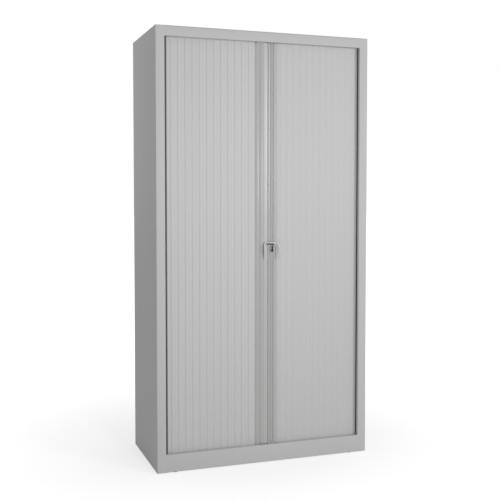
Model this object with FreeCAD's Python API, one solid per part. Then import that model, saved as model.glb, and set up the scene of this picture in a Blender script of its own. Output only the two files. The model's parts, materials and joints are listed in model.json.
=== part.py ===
import FreeCAD, Part
import math
import os

# A tall steel cupboard whose two doors are curtains of upright slats.
# The frame stands on z = 0 with its footprint centred on the origin.
# X runs to the right, Y to the back and Z up, and the front faces -Y.

# Overall size
width = 960.0
depth = 450.0
height = 1850.0

# Sheet steel
sheet = 1.0
fold_radius = 2.0
seam = 0.3
overrun = 5.0

# Front frame
stile_width = 38.0
stile_lip = 15.0
top_rail_height = 42.0
plinth_height = 76.0
rail_flange = 20.0
hem_height = 12.0
rear_flange = 20.0
top_flange = 15.0

# Floor glides
glide_height = 2.0
glide_radius = 11.0
glide_stem_radius = 4.0
glide_stem_height = 6.0
glide_hole_clearance = 0.2
glide_from_stile = 40.0
base_flange = 25.0

# Curtain
recess = 22.0
slat_pitch = 31.0
slat_step = 1.6
slat_thickness = 1.2
slat_lap = 3.5
groove_width = 1.0
groove_depth = 0.4
tail_angle = 68.0
tail_share = 0.4
tail_from_left_stile = 12.0
tail_from_right_stile = 4.0
least_tail_flat = 6.0
hem_clearance = 1.0
slide_gap = 0.3

# Guide tracks behind the rails
channel_width = 15.0
guide_radius = 60.0
guide_lip = 1.5
track_plate = 1.5
pocket_width = 40.0

# Lead rails: the doors meet a little right of the middle
left_lead_reach = 42.0
right_lead_reach = 58.0
meeting_offset = 15.0
meeting_gap = 0.6
lead_wall = 2.0
lead_proud = 6.5
lead_back = 9.0
lead_lip_width = 4.5
lead_end_gap = 2.5
lead_round = 3.5
shoulder_round = 3.0
lobe_depth = 1.6
lobe_round = 4.0
lobe_side_share = 0.2
first_reed = 9.2
second_reed = 13.0
reed_depth = 3.0
reed_side_share = 0.33
reed_round_share = 0.2
facet_fall = 1.0
runner_inset = 3.0

# Grips and lock
grip_height_on_rail = 916.0
grip_centre = 31.5
grip_half_width = 37.5
grip_half_height = 39.0
grip_left_corner = 12.0
grip_right_corner = 26.0
grip_depth = 13.0
grip_top_depth = 6.5
grip_crown = 60.0
grip_crown_lift = 4.0
rim_width = 4.5
flange_thickness = 2.0
ramp_width = 19.0
ramp_land = 2.0
pad_thickness = 5.0
pad_from_meeting = 5.5
pad_reach = 25.0
pad_inset = 0.5
lock_offset = 33.0
lock_lift = 10.0
barrel_radius = 9.0
barrel_flange_radius = 10.5
barrel_flange = 1.0
plug_radius = 6.5
fit_gap = 0.05
part_gap = 0.1
nut_radius = 11.5
nut_thickness = 1.6
cam_thickness = 2.5
cam_width = 14.0
cam_reach = 32.0
cam_gap = 0.4
pin_radius = 3.0
pin_offset = 24.0
pin_room = 1.5
striker_half_height = 15.0
striker_width = 17.0
striker_thickness = 1.5

# Key
blade_thickness = 2.0
blade_height = 8.0
blade_depth = 16.0
neck_length = 3.0
bow_length = 11.0
bow_height = 25.0
bow_thickness = 4.0
bow_round = 5.0
bow_hole_radius = 1.8

# Inside
shelf_count = 4
shelf_side_gap = 3.0
shelf_front_gap = 10.0
shelf_back_gap = 6.0
shelf_lip = 25.0
shelf_hem = 10.0
upright_width = 30.0
upright_thickness = 2.0
upright_end_gap = 4.0
upright_front_gap = 30.0
upright_back_gap = 35.0
slot_pitch = 50.0
slot_height = 12.0
slot_width = 5.0
clip_ledge = 12.0
clip_thickness = 2.0
clip_drop = 14.0

# Places that follow from the sizes above
half_width = width / 2
half_depth = depth / 2
front = -half_depth
curtain = front + recess
opening_bottom = plinth_height
opening_top = height - top_rail_height
stile_inner = half_width - stile_width
lead_reach = {-1: left_lead_reach, 1: right_lead_reach}
tail_knee = {-1: stile_inner - tail_from_left_stile, 1: stile_inner - tail_from_right_stile}
slat_count = {
    side: math.ceil((tail_knee[side] - least_tail_flat - lead_reach[side]) / slat_pitch) for side in (-1, 1)
}
slope = slat_step / slat_pitch
tilt = math.atan(slope)
lead_lip = slat_step - seam
channel_back = curtain + channel_width
guide_side = half_width - pocket_width
track_floor = opening_bottom - hem_height - slide_gap
track_ceiling = opening_top + hem_height + slide_gap
rail_return = recess - hem_clearance
back_inner = half_depth - sheet - seam - sheet
rear_rail_back = back_inner - seam
liner_outer_inset = slide_gap
liner_face = guide_side - liner_outer_inset - sheet
tier = (opening_top - opening_bottom) / (shelf_count + 1)


def vec(x, y, z=0.0):
    return FreeCAD.Vector(x, y, z)


def box(x, y, z):
    """A box between two values along each axis, in any order."""
    low = vec(min(x), min(y), min(z))
    return Part.makeBox(max(x) - low.x, max(y) - low.y, max(z) - low.z, low)


def cylinder(radius, x, z, y):
    """A round bar along Y between two depths."""
    low, high = min(y), max(y)
    return Part.makeCylinder(radius, high - low, vec(x, low, z), vec(0, 1, 0))


def upright_bar(radius, x, y, z):
    """A round bar along Z between two heights."""
    low, high = min(z), max(z)
    return Part.makeCylinder(radius, high - low, vec(x, y, low), vec(0, 0, 1))


def direction(start, end):
    step = end - start
    return step * (1 / step.Length)


def round_corner(before, corner, after, radius):
    """Where a round corner starts, its middle, and where it ends."""
    back, ahead = direction(corner, before), direction(corner, after)
    half = back.getAngle(ahead) / 2
    reach = radius / math.tan(half)
    middle_way = direction(vec(0, 0), back + ahead)
    centre = corner + middle_way * (radius / math.sin(half))
    return corner + back * reach, centre - middle_way * radius, corner + ahead * reach


def outline(points, radii=None):
    """A closed wire in the XY plane, with a radius for each corner."""
    corners = [vec(*p) for p in points]
    radii = radii or [0] * len(corners)
    edges, ends = [], []
    for i, corner in enumerate(corners):
        before, after = corners[i - 1], corners[(i + 1) % len(corners)]
        if radii[i]:
            start, middle, end = round_corner(before, corner, after, radii[i])
            edges.append(Part.Arc(start, middle, end).toShape())
            ends.append((start, end))
        else:
            ends.append((corner, corner))
    for i, (_, leave) in enumerate(ends):
        arrive = ends[(i + 1) % len(ends)][0]
        edges.append(Part.LineSegment(leave, arrive).toShape())
    return Part.Wire(Part.__sortEdges__(edges))


def prism(points, z, radii=None):
    """A plan outline made solid between two heights."""
    face = Part.Face(outline(points, radii))
    face.translate(vec(0, 0, min(z)))
    return face.extrude(vec(0, 0, max(z) - min(z)))


def folded_outline(points, thickness, radius):
    """The plan section of a folded sheet whose thickness lies to the left of its path."""
    path = [vec(*p) for p in points]
    ways = [direction(a, b) for a, b in zip(path, path[1:])]
    lefts = [vec(-w.y, w.x) for w in ways]
    shifted = [path[0] + lefts[0] * thickness]
    near_radii, far_radii = [0], [0]
    for i in range(1, len(path) - 1):
        a, b = lefts[i - 1], lefts[i]
        shifted.append(path[i] + (a + b) * (thickness / (1 + a.dot(b))))
        turns_left = ways[i - 1].cross(ways[i]).z > 0
        near_radii.append(radius if turns_left else radius - thickness)
        far_radii.append(radius - thickness if turns_left else radius)
    shifted.append(path[-1] + lefts[-1] * thickness)
    near_radii.append(0)
    far_radii.append(0)
    corners = path + shifted[::-1]
    return [(p.x, p.y) for p in corners], near_radii + far_radii[::-1]


def folded_upright(points, z):
    """A folded sheet that stands along Z, from its plan section."""
    corners, radii = folded_outline(points, sheet, fold_radius)
    return prism(corners, z, radii)


def across(section, x, radii=None):
    """A solid that runs along X, from its section in Y and Z."""
    solid = prism(section, (0, max(x) - min(x)), radii)
    # the section's first axis becomes Y, its second Z, and its length X
    turn = FreeCAD.Matrix()
    turn.A11, turn.A12, turn.A13 = 0, 0, 1
    turn.A21, turn.A22, turn.A23 = 1, 0, 0
    turn.A31, turn.A32, turn.A33 = 0, 1, 0
    turn.A14 = min(x)
    return solid.transformGeometry(turn)


def folded_across(points, x):
    """A folded sheet that runs along X, from its section in Y and Z."""
    corners, radii = folded_outline(points, sheet, fold_radius)
    return across(corners, x, radii)


def mirrored(shape):
    return shape.mirror(vec(0, 0), vec(1, 0))


def fused(first, *rest):
    return first.fuse(list(rest)).removeSplitter() if rest else first


def write(node, shape):
    solids = shape.Solids
    good = all(s.isValid() and s.Volume > 0 for s in solids)
    shape = solids[0] if len(solids) == 1 else Part.makeCompound(solids)
    shape.exportStep(f"parts/{node}.step")
    print(f"{node}: {len(solids)} solid(s), {'valid' if good and solids else 'NOT VALID'}")


def inner_block(inset, z, y_back=None):
    """The room inside the curtain's path, with its round front corners."""
    side, near = guide_side - inset, channel_back + inset
    far = y_back or rear_rail_back - sheet - seam
    points = [(-side, far), (-side, near), (side, near), (side, far)]
    return prism(points, z, [0, guide_radius - inset, guide_radius - inset, 0])


# Body shell


def side_panel():
    """A side, its stile and its rear flange, folded from one sheet (the right one)."""
    path = [
        (stile_inner, front + stile_lip),
        (stile_inner, front),
        (half_width, front),
        (half_width, half_depth),
        (half_width - rear_flange, half_depth),
    ]
    return folded_upright(path, (glide_height, height - sheet - seam))


def top_panel():
    corner_x, corner_y = half_width, half_depth
    points = [(-corner_x, -corner_y), (corner_x, -corner_y), (corner_x, corner_y), (-corner_x, corner_y)]
    plate = prism(points, (height - sheet, height), [fold_radius] * len(points))
    outer = half_width - sheet - seam
    flange_z = (height - sheet - top_flange, height - sheet)
    flange_y = (front + rail_flange + fold_radius, back_inner - seam)
    right = box((outer - sheet, outer), flange_y, flange_z)
    return fused(plate, right, mirrored(right))


def top_rail():
    """The rail over the doors, with a hem that the slats run behind."""
    top = height - sheet - seam
    path = [
        (front + rail_flange, top),
        (front, top),
        (front, opening_top),
        (front + rail_return, opening_top),
        (front + rail_return, opening_top + hem_height),
    ]
    return folded_across(path, (seam - stile_inner, stile_inner - seam))


def glide_places():
    side = stile_inner - glide_from_stile
    near = front + base_flange / 2
    far = rear_rail_back - base_flange / 2
    return [(sx * side, y) for sx in (-1, 1) for y in (near, far)]


def glide_holes():
    hole = glide_stem_radius + glide_hole_clearance
    z = (glide_height - overrun, glide_height + sheet + overrun)
    return [upright_bar(hole, x, y, z) for x, y in glide_places()]


def plinth_rail():
    path = [
        (front + rail_return, opening_bottom - hem_height),
        (front + rail_return, opening_bottom),
        (front, opening_bottom),
        (front, glide_height),
        (front + base_flange, glide_height),
    ]
    return folded_across(path, (seam - stile_inner, stile_inner - seam)).cut(glide_holes())


def rear_base_rail():
    top = track_floor - track_plate - seam
    path = [
        (rear_rail_back - base_flange, glide_height),
        (rear_rail_back, glide_height),
        (rear_rail_back, top),
        (rear_rail_back - rail_flange, top),
    ]
    side = half_width - sheet - seam
    return folded_across(path, (-side, side)).cut(glide_holes())


def back_panel():
    side = half_width - sheet - seam
    y = (back_inner, back_inner + sheet)
    return box((-side, side), y, (glide_height, height - sheet - seam))


def floor_glides():
    pads = []
    for x, y in glide_places():
        pad = upright_bar(glide_radius, x, y, (0, glide_height))
        stem = upright_bar(glide_stem_radius, x, y, (0, glide_height + glide_stem_height))
        pads.append(fused(pad, stem))
    return Part.makeCompound(pads)


def deck(z):
    """The floor or the ceiling of the room inside the curtain's path."""
    return inner_block(0, z)


def liner():
    """The inner side wall that hides the parked curtain, bent round the front corner (right)."""
    z = (opening_bottom + seam, opening_top - seam)
    shell = inner_block(liner_outer_inset, z).cut(
        inner_block(liner_outer_inset + sheet, (z[0] - overrun, z[1] + overrun), half_depth)
    )
    keep_x = (guide_side - guide_radius, half_width)
    return shell.common(box(keep_x, (front, half_depth), z))


def track(plate_z, lip_z):
    """A flat track plate with the lip that the curtain runs in front of and round."""
    side = half_width - sheet - seam
    far = rear_rail_back - sheet - seam
    plate = box((-side, side), (curtain - hem_clearance + seam, far), plate_z)
    levels = plate_z + lip_z
    hollow = inner_block(guide_lip, (min(levels) - overrun, max(levels) + overrun), half_depth)
    lip = inner_block(0, lip_z)
    return fused(plate, lip).cut(hollow)


# Doors


def slat(side, number):
    """One slat: a thin strip, lapped under its neighbour towards the middle."""
    outer = lead_reach[side] + slat_pitch * number
    over = slat_pitch + slat_lap
    half_groove, middle = groove_width / 2, slat_pitch / 2

    def at(along, deep):
        """A point on the strip: along it from its outer edge, and deep into it."""
        x = outer - along * math.cos(tilt) - deep * math.sin(tilt)
        return side * x, curtain + along * math.sin(tilt) + deep * math.cos(tilt)

    face = [
        at(0, 0),
        at(middle - half_groove, 0),
        at(middle, groove_depth),
        at(middle + half_groove, 0),
        at(over, 0),
        at(over, slat_thickness),
        at(0, slat_thickness),
    ]
    z = (track_floor + slide_gap, track_ceiling - slide_gap)
    return prism(face, z)


def tail_slat(side):
    """The last slat, which has begun to turn back behind the stile."""
    outer = lead_reach[side] + slat_pitch * slat_count[side]
    knee_along = (outer - tail_knee[side]) / math.cos(tilt)
    turn = math.radians(tail_angle)
    turned = slat_pitch * tail_share

    def flat(along, deep):
        x = outer - along * math.cos(tilt) - deep * math.sin(tilt)
        return x, curtain + along * math.sin(tilt) + deep * math.cos(tilt)

    knee = flat(knee_along, 0)

    def bent(along, deep):
        x = knee[0] + along * math.cos(turn) - deep * math.sin(turn)
        return x, knee[1] + along * math.sin(turn) + deep * math.cos(turn)

    # inside the knee the two back faces meet on the line that halves the turn
    half = (turn + tilt) / 2
    inside = slat_thickness * math.tan(half)
    face = [
        flat(slat_pitch + slat_lap, 0),
        knee,
        bent(turned, 0),
        bent(turned, slat_thickness),
        bent(inside, slat_thickness),
        flat(slat_pitch + slat_lap, slat_thickness),
    ]
    z = (track_floor + slide_gap, track_ceiling - slide_gap)
    return prism([(side * x, y) for x, y in face], z)


def lead_ends():
    return opening_bottom + lead_end_gap, opening_top - lead_end_gap


def lead_blank(inner, reach, front_points):
    """A lead rail's plan section from its front line, with the lip that covers the first slat."""
    back = curtain + lead_back
    rebate = reach - lead_lip_width
    return front_points + [
        (reach, curtain + lead_lip),
        (rebate, curtain + lead_lip),
        (rebate, back),
        (inner, back),
    ]


def left_lead_rail():
    """A hollow rail with three broad lobes in front, drawn as if on the right and then mirrored."""
    inner = -(meeting_offset - meeting_gap / 2)
    crest, edge = curtain - lead_proud, curtain - lead_lip / 4
    whole_width = left_lead_reach - inner
    facet_shares = ((0.00, 0.06), (0.36, 0.00), (0.67, 0.20), (0.93, 0.48), (1.00, 1.00))
    stations = [vec(inner + s * whole_width, crest + d * (edge - crest)) for s, d in facet_shares]
    front_line, radii = [stations[0]], [lead_round]
    for start, valley, end in zip(stations, stations[1:], stations[2:4]):
        before = valley + (start - valley) * lobe_side_share
        after = valley + (end - valley) * lobe_side_share
        front_line += [before, valley + vec(0, lobe_depth), after]
        radii += [lobe_round, 0, lobe_round]
    front_line += stations[3:]
    blank = lead_blank(inner, left_lead_reach, [(p.x, p.y) for p in front_line])
    radii += [shoulder_round] + [0] * (len(blank) - len(front_line) + 1)
    solid = prism(blank, lead_ends(), radii)
    web = stations[1].x
    hollow_back = curtain + lead_back - lead_wall
    right_end = left_lead_reach - lead_lip_width - lead_wall
    near_front = crest + lobe_depth + lead_wall
    far_front = (stations[2].y + edge) / 2 + lobe_depth + lead_wall
    near = box((inner + lead_wall, web - lead_wall), (near_front, hollow_back), lead_ends())
    far = box((web + lead_wall, right_end), (far_front, hollow_back), lead_ends())
    return mirrored(solid.cut([near, far]))


def lock_hole(radius, y):
    return cylinder(radius, lock_offset, lock_height(), y)


def lock_height():
    return grip_height_on_rail + lock_lift


def right_lead_rail():
    """A hollow rail with two upright reeds and a broad facet, bored for the lock."""
    inner = meeting_offset + meeting_gap / 2
    crest = curtain - lead_proud
    valley = crest + reed_depth
    first, second = inner + first_reed, inner + first_reed + second_reed
    first_side, second_side = first_reed * reed_side_share, second_reed * reed_side_share
    first_round, second_round = first_reed * reed_round_share, second_reed * reed_round_share
    corners = [
        ((inner, crest), lead_round),
        ((first - first_side, crest), first_round),
        ((first, valley), 0),
        ((first + second_side, crest), second_round),
        ((second - second_side, crest), second_round),
        ((second, valley), 0),
        ((second + second_side, crest + facet_fall), second_round),
        ((right_lead_reach - first_side, crest), first_round),
        ((right_lead_reach, crest + facet_fall), 0),
    ]
    blank = lead_blank(inner, right_lead_reach, [point for point, _ in corners])
    radii = [radius for _, radius in corners]
    solid = prism(blank, lead_ends(), radii + [0] * (len(blank) - len(radii)))
    right_end = right_lead_reach - lead_lip_width - lead_wall
    y = (valley + lead_wall, curtain + lead_back - lead_wall)
    hollow = box((inner + lead_wall, right_end), y, lead_ends())
    bore = lock_hole(barrel_radius + part_gap, (front, curtain + lead_back + overrun))
    return solid.cut([hollow, bore])


def runners(inner, reach):
    """The plastic feet at both ends of a lead rail, which run in the tracks."""
    u = (inner + runner_inset, reach - lead_lip_width - runner_inset)
    y = (curtain - slide_gap, curtain + channel_width - slide_gap)
    low, high = lead_ends()
    tall = low - track_floor - slide_gap
    foot = box(u, y, (low - tall, low))
    cap = box(u, y, (high, high + tall))
    return [foot, cap]


def in_front(x, z, radii, y):
    """A block with an upright outline, rounded left and right, between two depths."""
    left, right = radii
    points = [(min(x), min(z)), (max(x), min(z)), (max(x), max(z)), (min(x), max(z))]
    block = prism(points, (0, max(y) - min(y)), [left, right, right, left])
    # the outline's second axis becomes Z, and its depth runs to the front
    block.rotate(vec(0, 0), vec(1, 0, 0), 90)
    block.translate(vec(0, max(y), 0))
    return block


def grip_bounds():
    """The arch's left and right, its foot and its top, and its back and its face."""
    middle = grip_height_on_rail
    back = lock_front() - part_gap
    return (
        (grip_centre - grip_half_width, grip_centre + grip_half_width),
        (middle - grip_half_height, middle + grip_half_height),
        (back - grip_depth, back),
    )


def arch_opening(inset, y):
    """What the arch leaves open on its left, less an inset all round."""
    (left, right), (low, high), _ = grip_bounds()
    x = (left + rim_width + inset, right - ramp_width - inset)
    z = (low - grip_right_corner, high - rim_width - inset)
    radii = [corner - rim_width - inset for corner in (grip_left_corner, grip_right_corner)]
    return in_front(x, z, radii, y)


def grip_block():
    """The arched frame that both doors share, open below, before it is split between them."""
    (left, right), (low, high), (face, back) = grip_bounds()
    flange = back - flange_thickness
    block = in_front((left, right), (low, high), (grip_left_corner, grip_right_corner), (face, back))
    crowned = [
        (back, low),
        (flange, low),
        (face, grip_height_on_rail + grip_crown_lift),
        (back - grip_top_depth, high),
        (back, high),
    ]
    block = block.common(across(crowned, (left, right), [0, 0, grip_crown, 0, 0]))
    # on the right a ramp rises to the rim, for a finger that pushes the door open
    start, crest = right - ramp_width, right - ramp_land
    far = front - depth
    before_ramp = [(left, far), (left, flange), (start, flange), (crest, face), (crest, far)]
    dish_z = (low - grip_right_corner, high - rim_width)
    corner = grip_right_corner - rim_width
    dish = in_front((left + rim_width, crest), dish_z, (corner, corner), (face - overrun, flange))
    dish = dish.common(prism(before_ramp, dish_z))
    return block.cut([arch_opening(0, (face - overrun, back + overrun)), dish])


def of_door(side, shape):
    """The part of a shape that lies on one door's side of the meeting line."""
    edge = meeting_offset + side * meeting_gap / 2
    return shape.common(box((edge, edge + side * width), (front - depth, half_depth), (0, height)))


def grip(side):
    return of_door(side, grip_block())


def finger_pad(side):
    """A soft pad under the top of the arch."""
    _, (_, high), (_, back) = grip_bounds()
    y = (back - grip_top_depth + pad_inset, back)
    inside = arch_opening(part_gap + pad_thickness, (y[0] - overrun, back + overrun))
    ring = arch_opening(part_gap, y).cut(inside)
    x = (meeting_offset - pad_from_meeting, meeting_offset + pad_reach)
    return of_door(side, ring.common(box(x, y, (high - grip_right_corner, high))))


def lock_front():
    """The crests of the lead rails, which the lock's collar and the grips lie on."""
    return curtain - lead_proud


def cam_front():
    return curtain + lead_back + part_gap + striker_thickness + cam_gap


def lock_barrel():
    face, rear = lock_front(), curtain + lead_back
    shell = lock_hole(barrel_radius, (face, rear + part_gap + nut_thickness))
    collar = lock_hole(barrel_flange_radius, (face - barrel_flange, face - part_gap))
    sleeve = lock_hole(barrel_radius, (face - barrel_flange, face))
    bore = lock_hole(plug_radius + fit_gap, (front - depth, half_depth))
    body = fused(shell, collar, sleeve).cut(bore)
    nut_hole = lock_hole(barrel_radius + fit_gap, (front, half_depth))
    nut = hexagon(nut_radius, (rear + part_gap, rear + part_gap + nut_thickness)).cut(nut_hole)
    return Part.makeCompound([body, nut])


def hexagon(radius, y):
    sides = 6
    corners = []
    for k in range(sides):
        angle = 2 * math.pi * k / sides
        x = lock_offset + radius * math.cos(angle)
        z = lock_height() + radius * math.sin(angle)
        corners.append(vec(x, min(y), z))
    face = Part.Face(Part.makePolygon(corners + corners[:1]))
    return face.extrude(vec(0, max(y) - min(y), 0))


def lock_plug():
    face = lock_front() - barrel_flange
    plug = lock_hole(plug_radius, (face, cam_front() + cam_thickness))
    half_x, half_z = blade_thickness / 2 + part_gap, blade_height / 2 + part_gap
    keyway = box(
        (lock_offset - half_x, lock_offset + half_x),
        (face - overrun, face + blade_depth + part_gap),
        (lock_height() - half_z, lock_height() + half_z),
    )
    return plug.cut(keyway)


def lock_cam():
    """The arm behind the rails. It points up when the doors are free to slide."""
    y = (cam_front(), cam_front() + cam_thickness)
    half = cam_width / 2
    arm_z = (lock_height(), lock_height() + cam_reach)
    arm = box((lock_offset - half, lock_offset + half), y, arm_z)
    hub = cylinder(nut_radius, lock_offset, lock_height(), y)
    hole = lock_hole(plug_radius + part_gap, (front, half_depth))
    room = pin_radius + pin_room
    pin_z = lock_height() + pin_offset
    notch = box((lock_offset - half - overrun, lock_offset), y, (pin_z - room, pin_z + room))
    notch_end = cylinder(room, lock_offset, pin_z, y)
    return fused(arm, hub).cut([hole, notch, notch_end])


def key():
    """A key whose flat bow stands upright while the doors are free."""
    face = lock_front() - barrel_flange
    half_x, half_z = blade_thickness / 2, blade_height / 2
    blade = box(
        (lock_offset - half_x, lock_offset + half_x),
        (face - neck_length, face + blade_depth),
        (lock_height() - half_z, lock_height() + half_z),
    )
    near = face - neck_length
    far, half_bow = near - bow_length, bow_height / 2
    points = [(far, -half_bow), (near, -half_bow), (near, half_bow), (far, half_bow)]
    bow = prism(points, (0, bow_thickness), [bow_round] * len(points))
    hole = upright_bar(bow_hole_radius, far + bow_round, 0, (-overrun, bow_thickness + overrun))
    bow = bow.cut(hole)
    # the bow's plan axes become Y and Z, and its thickness X
    turn = FreeCAD.Matrix()
    turn.A11, turn.A12, turn.A13 = 0, 0, 1
    turn.A21, turn.A22, turn.A23 = 1, 0, 0
    turn.A31, turn.A32, turn.A33 = 0, 1, 0
    turn.A14 = lock_offset - bow_thickness / 2
    turn.A34 = lock_height()
    return fused(bow.transformGeometry(turn), blade)


def striker():
    """The plate and pin on the left rail that the cam's notch closes on."""
    near = curtain + lead_back + part_gap
    pin_x = lock_offset - pin_offset
    plate_end = meeting_offset - meeting_gap
    plate = box(
        (plate_end - striker_width, plate_end),
        (near, near + striker_thickness),
        (lock_height() - striker_half_height, lock_height() + striker_half_height),
    )
    pin_y = (near, cam_front() + cam_thickness + pin_room)
    return fused(plate, cylinder(pin_radius, pin_x, lock_height(), pin_y))


# Inside


def upright_places():
    """Where the slotted uprights stand along Y: the front pair and the back pair."""
    near = channel_back + guide_radius + upright_front_gap
    far = rear_rail_back - upright_back_gap - upright_width
    return near, far


def slot_heights():
    low, high = opening_bottom + slot_pitch, opening_top - slot_pitch
    count = int((high - low) / slot_pitch)
    return [low + slot_pitch * i for i in range(count + 1)]


def shelf_top(number):
    """A shelf's height, brought to the slot that is nearest to an even spacing."""
    even = opening_bottom + tier * number
    return min(slot_heights(), key=lambda z: abs(z - even)) + slot_height / 2


def upright(y):
    """A slotted strip on the right liner."""
    x = (liner_face - upright_thickness, liner_face)
    z = (opening_bottom + upright_end_gap, opening_top - upright_end_gap)
    strip = box(x, (y, y + upright_width), z)
    middle = y + upright_width / 2
    half_w, half_h = slot_width / 2, slot_height / 2
    slots = []
    for height_here in slot_heights():
        slot_y = (middle - half_w, middle + half_w)
        slot_z = (height_here - half_h, height_here + half_h)
        slots.append(box((x[0] - overrun, x[1] + overrun), slot_y, slot_z))
    return strip.cut(slots)


def shelf(number):
    top = shelf_top(number)
    near = channel_back + shelf_front_gap
    far = rear_rail_back - shelf_back_gap
    path = [
        (far - shelf_hem, top - shelf_lip),
        (far, top - shelf_lip),
        (far, top),
        (near, top),
        (near, top - shelf_lip),
        (near + shelf_hem, top - shelf_lip),
    ]
    side = liner_face - upright_thickness - shelf_side_gap
    corner_cut = inner_block(liner_outer_inset + sheet + shelf_side_gap, (0, height), half_depth)
    return folded_across(path, (-side, side)).common(corner_cut)


def shelf_clips():
    """The hooks in the slots that the shelves lie on."""
    clips = []
    face = liner_face - upright_thickness
    reach = face - clip_ledge
    for number in range(1, shelf_count + 1):
        seat = shelf_top(number) - sheet
        for y in upright_places():
            middle = y + upright_width / 2
            half = slot_width / 2 + clip_thickness
            ledge = box((reach, face), (middle - half, middle + half), (seat - clip_thickness, seat))
            drop_z = (seat - clip_drop, seat)
            drop = box((face - clip_thickness, face), (middle - half, middle + half), drop_z)
            inner_half = slot_width / 2 - part_gap
            tab = box(
                (face, liner_face - part_gap),
                (middle - inner_half, middle + inner_half),
                (seat - slot_height + sheet + part_gap, seat - clip_thickness),
            )
            clip = fused(ledge, drop, tab)
            clips += [clip, mirrored(clip)]
    return Part.makeCompound(clips)


def main():
    os.makedirs("parts", exist_ok=True)

    right_side = side_panel()
    write("right_side_panel", right_side)
    write("left_side_panel", mirrored(right_side))
    write("top_panel", top_panel())
    write("top_rail", top_rail())
    write("plinth_rail", plinth_rail())
    write("rear_base_rail", rear_base_rail())
    write("back_panel", back_panel())
    write("floor_glides", floor_glides())
    write("base_deck", deck((opening_bottom - sheet, opening_bottom)))
    write("ceiling_panel", deck((opening_top, opening_top + sheet)))
    right_liner = liner()
    write("right_liner", right_liner)
    write("left_liner", mirrored(right_liner))
    low_lip = (track_floor - track_plate, opening_bottom - sheet - seam)
    high_lip = (opening_top + sheet + seam, track_ceiling + track_plate)
    write("bottom_track", track((track_floor - track_plate, track_floor), low_lip))
    write("top_track", track((track_ceiling, track_ceiling + track_plate), high_lip))

    for side, name in ((-1, "left"), (1, "right")):
        for number in range(1, slat_count[side]):
            write(f"{name}_slat_{number:02d}", slat(side, number))
        write(f"{name}_slat_{slat_count[side]:02d}", tail_slat(side))
        write(f"{name}_grip", grip(side))
        write(f"{name}_finger_pad", finger_pad(side))
    write("left_lead_rail", left_lead_rail())
    write("right_lead_rail", right_lead_rail())
    left_feet = [mirrored(foot) for foot in runners(meeting_gap / 2 - meeting_offset, left_lead_reach)]
    write("left_runners", Part.makeCompound(left_feet))
    right_feet = runners(meeting_offset + meeting_gap / 2, right_lead_reach)
    write("right_runners", Part.makeCompound(right_feet))
    write("lock_barrel", lock_barrel())
    write("lock_plug", lock_plug())
    write("lock_cam", lock_cam())
    write("key", key())
    write("striker", striker())

    strips = [upright(y) for y in upright_places()]
    write("right_uprights", Part.makeCompound(strips))
    write("left_uprights", Part.makeCompound([mirrored(strip) for strip in strips]))
    for number in range(1, shelf_count + 1):
        write(f"shelf_{number}", shelf(number))
    write("shelf_clips", shelf_clips())


main()
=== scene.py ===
# %% [markdown]
# # A tall cupboard with slatted doors
#
# The object is a free-standing office cupboard in light grey sheet steel. Its two doors are
# curtains of narrow upright slats, which roll sideways and vanish behind the stiles. The packed
# model is loaded first and never moved: it gives every piece its place, and this script dresses
# it. Folded sheet, slats and rails are made again here with round folds and soft edges, because
# on a plain grey object the light on the edges is most of what the eye sees.

# %% Load the frame
import json
import math

import bmesh
import bpy
from mathutils import Matrix, Vector


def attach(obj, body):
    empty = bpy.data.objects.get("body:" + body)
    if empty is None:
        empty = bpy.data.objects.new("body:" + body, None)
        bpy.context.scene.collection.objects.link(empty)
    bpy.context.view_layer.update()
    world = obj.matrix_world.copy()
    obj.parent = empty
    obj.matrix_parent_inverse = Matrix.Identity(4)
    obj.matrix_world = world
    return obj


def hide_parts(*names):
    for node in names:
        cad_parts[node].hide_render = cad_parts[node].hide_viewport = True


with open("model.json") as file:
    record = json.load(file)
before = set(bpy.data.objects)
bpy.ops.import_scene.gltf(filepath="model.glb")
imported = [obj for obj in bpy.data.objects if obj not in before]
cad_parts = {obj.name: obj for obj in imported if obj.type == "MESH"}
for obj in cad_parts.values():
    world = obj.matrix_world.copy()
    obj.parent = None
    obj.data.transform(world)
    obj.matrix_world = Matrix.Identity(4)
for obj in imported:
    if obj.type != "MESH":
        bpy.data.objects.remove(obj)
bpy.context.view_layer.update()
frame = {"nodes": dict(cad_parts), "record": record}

MM = 0.001

# %% [markdown]
# ## Outlines
#
# Nearly every piece here is one flat outline pushed along an axis: a folded panel, a slat, a
# rail. So the first tools draw outlines, in millimetres. A corner can be given a radius and turns
# into a short arc. A folded sheet is drawn as the path of its outer face, and the helper lays the
# thickness to the left of the path and rounds both sides of each bend.

# %% Round corners
ARC_STEPS = 6
LEG_PARTS = 2.01
STRAIGHT = 1e-3


def unit(vector):
    return vector / vector.length


def with_arcs(points, radii, steps=ARC_STEPS):
    """A closed outline with round corners. An arc takes less than half of a leg, so none meet."""
    corners = [Vector(p) for p in points]
    if not isinstance(radii, (list, tuple)):
        radii = [radii] * len(corners)
    made = []
    for i, (corner, radius) in enumerate(zip(corners, radii)):
        before, after = corners[i - 1], corners[(i + 1) % len(corners)]
        back, ahead = unit(before - corner), unit(after - corner)
        half = back.angle(ahead) / 2
        if radius <= 0 or math.pi / 2 - half < STRAIGHT:
            made.append(corner)
            continue
        shorter_leg = min((before - corner).length, (after - corner).length)
        reach = min(radius / math.tan(half), shorter_leg / LEG_PARTS)
        radius = reach * math.tan(half)
        centre = corner + unit(back + ahead) * (radius / math.sin(half))
        start, end = corner + back * reach - centre, corner + ahead * reach - centre
        turn = start.angle_signed(end)
        made += [centre + Matrix.Rotation(-turn * k / steps, 2) @ start for k in range(steps + 1)]
    return [(p.x, p.y) for p in made]


def rectangle(x, y):
    """The four corners between two values along each axis."""
    return [(x[0], y[0]), (x[1], y[0]), (x[1], y[1]), (x[0], y[1])]


square = with_arcs(rectangle((0, 10), (0, 10)), 2)
print("a square with round corners has", len(square), "points")

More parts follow.
